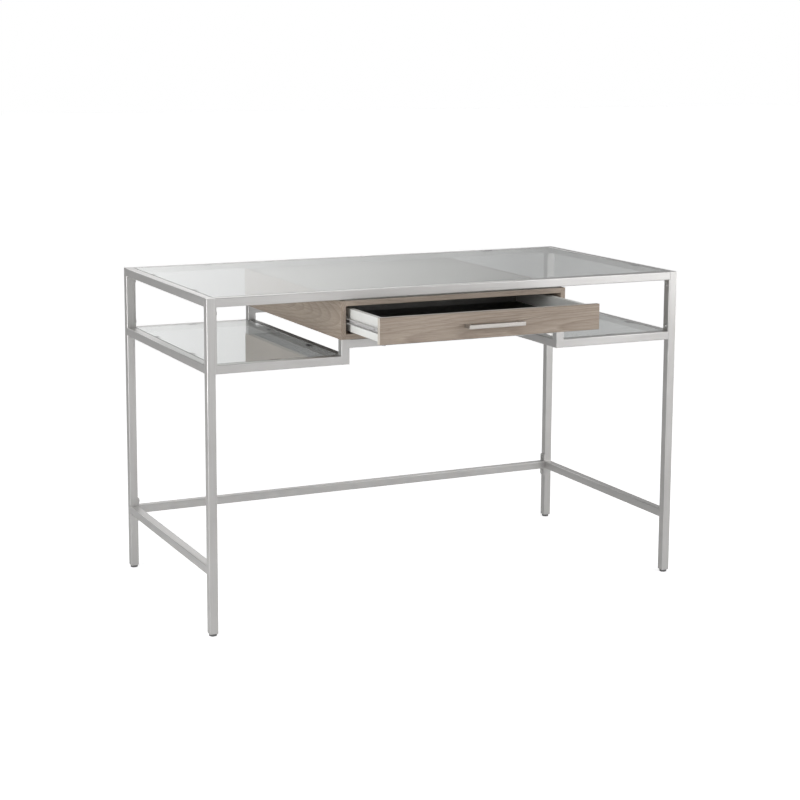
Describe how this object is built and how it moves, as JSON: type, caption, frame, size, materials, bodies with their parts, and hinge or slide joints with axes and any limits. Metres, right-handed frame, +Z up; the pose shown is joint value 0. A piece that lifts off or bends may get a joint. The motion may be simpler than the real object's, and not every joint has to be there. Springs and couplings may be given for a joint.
{
  "type": "desk",
  "caption": "Glass-topped computer desk on a square-tube steel frame, with open glass side shelves and a shallow pull-out centre drawer on ball-bearing slides.",
  "frame": {"origin": "on the floor, under the centre of the desk top, with the levelling screws turned fully in, so that the desk stands on its four glides", "axes": "+X to the sitter's right, +Y to the back of the desk, +Z up; the drawer opens towards -Y"},
  "size_m": [1.2192, 0.8118, 0.762],
  "materials": {
    "frame_steel": "satin nickel-grey powder coat with a fine metallic flake",
    "bolts": "satin zinc",
    "handle_metal": "satin nickel plate",
    "clear_glass": "clear float glass with ground and polished edges",
    "bumper_rubber": "matt black",
    "housing_wood": "matt grey-oak veneer, grain along the desk's depth on the sides",
    "front_wood": "matt grey-oak veneer, horizontal grain",
    "drawer_board": "smooth off-white melamine",
    "drawer_lining": "matt black lining board",
    "zinc_screws": "bright zinc",
    "slide_zinc": "rolled zinc-plated steel",
    "glide_nylon": "grey nylon"
  },
  "bodies": {
    "desk_frame": {"connector_plates": "frame_steel", "frame_bolts": "bolts", "glass_bumpers": "bumper_rubber", "glass_tabs": "frame_steel", "glass_top": "clear_glass", "housing_back": "housing_wood", "housing_bottom": "housing_wood", "housing_left": "housing_wood", "housing_right": "housing_wood", "housing_screws": "zinc_screws", "housing_top": "housing_wood", "leg_front_left": "frame_steel", "leg_front_right": "frame_steel", "leg_glides": "glide_nylon", "leg_rear_left": "frame_steel", "leg_rear_right": "frame_steel", "post_front_left": "frame_steel", "post_front_right": "frame_steel", "post_rear_left": "frame_steel", "post_rear_right": "frame_steel", "shelf_glass_left": "clear_glass", "shelf_glass_right": "clear_glass", "shelf_rail_front_left": "frame_steel", "shelf_rail_front_right": "frame_steel", "shelf_rail_inner_left": "frame_steel", "shelf_rail_inner_right": "frame_steel", "shelf_rail_rear_left": "frame_steel", "shelf_rail_rear_right": "frame_steel", "shelf_rail_side_left": "frame_steel", "shelf_rail_side_right": "frame_steel", "slide_outer_left": "slide_zinc", "slide_outer_right": "slide_zinc", "slide_outer_screws": "zinc_screws", "stretcher_bolts": "bolts", "stretcher_left": "frame_steel", "stretcher_plates": "frame_steel", "stretcher_rear": "frame_steel", "stretcher_right": "frame_steel", "support_rail_front": "frame_steel", "support_rail_rear": "frame_steel", "top_rail_front": "frame_steel", "top_rail_left": "frame_steel", "top_rail_rear": "frame_steel", "top_rail_right": "frame_steel"},
    "drawer": {"drawer_front": "front_wood", "drawer_side_left": "drawer_board", "drawer_side_right": "drawer_board", "drawer_back": "drawer_board", "drawer_bottom": "drawer_lining", "handle": "handle_metal", "handle_screws": "zinc_screws", "slide_inner_left": "slide_zinc", "slide_inner_right": "slide_zinc", "slide_inner_screws": "zinc_screws"},
    "left_ball_cage": {"slide_cage_left": "slide_zinc"},
    "right_ball_cage": {"slide_cage_right": "slide_zinc"},
    "levelling_screw_front_left": {"levelling_screw_front_left": "zinc_screws"},
    "levelling_screw_front_right": {"levelling_screw_front_right": "zinc_screws"},
    "levelling_screw_rear_left": {"levelling_screw_rear_left": "zinc_screws"},
    "levelling_screw_rear_right": {"levelling_screw_rear_right": "zinc_screws"}
  },
  "joints": [
    {"name": "drawer_slide", "type": "slide", "parent": "desk_frame", "child": "drawer", "axis": [0, -1, 0], "range_m": [-0.1772, 0.0828]},
    {"name": "left_cage_slide", "type": "slide", "parent": "desk_frame", "child": "left_ball_cage", "axis": [0, -1, 0], "range_m": [-0.0886, 0.0414]},
    {"name": "right_cage_slide", "type": "slide", "parent": "desk_frame", "child": "right_ball_cage", "axis": [0, -1, 0], "range_m": [-0.0886, 0.0414]},
    {"name": "levelling_screw_front_left_travel", "type": "slide", "parent": "desk_frame", "child": "levelling_screw_front_left", "axis": [0, 0, 1], "range_m": [-0.008, 0]},
    {"name": "levelling_screw_front_right_travel", "type": "slide", "parent": "desk_frame", "child": "levelling_screw_front_right", "axis": [0, 0, 1], "range_m": [-0.008, 0]},
    {"name": "levelling_screw_rear_left_travel", "type": "slide", "parent": "desk_frame", "child": "levelling_screw_rear_left", "axis": [0, 0, 1], "range_m": [-0.008, 0]},
    {"name": "levelling_screw_rear_right_travel", "type": "slide", "parent": "desk_frame", "child": "levelling_screw_rear_right", "axis": [0, 0, 1], "range_m": [-0.008, 0]}
  ],
  "couplings": [
    {"joint": "left_cage_slide", "follows": "drawer_slide", "ratio": 0.5},
    {"joint": "right_cage_slide", "follows": "drawer_slide", "ratio": 0.5}
  ]
}
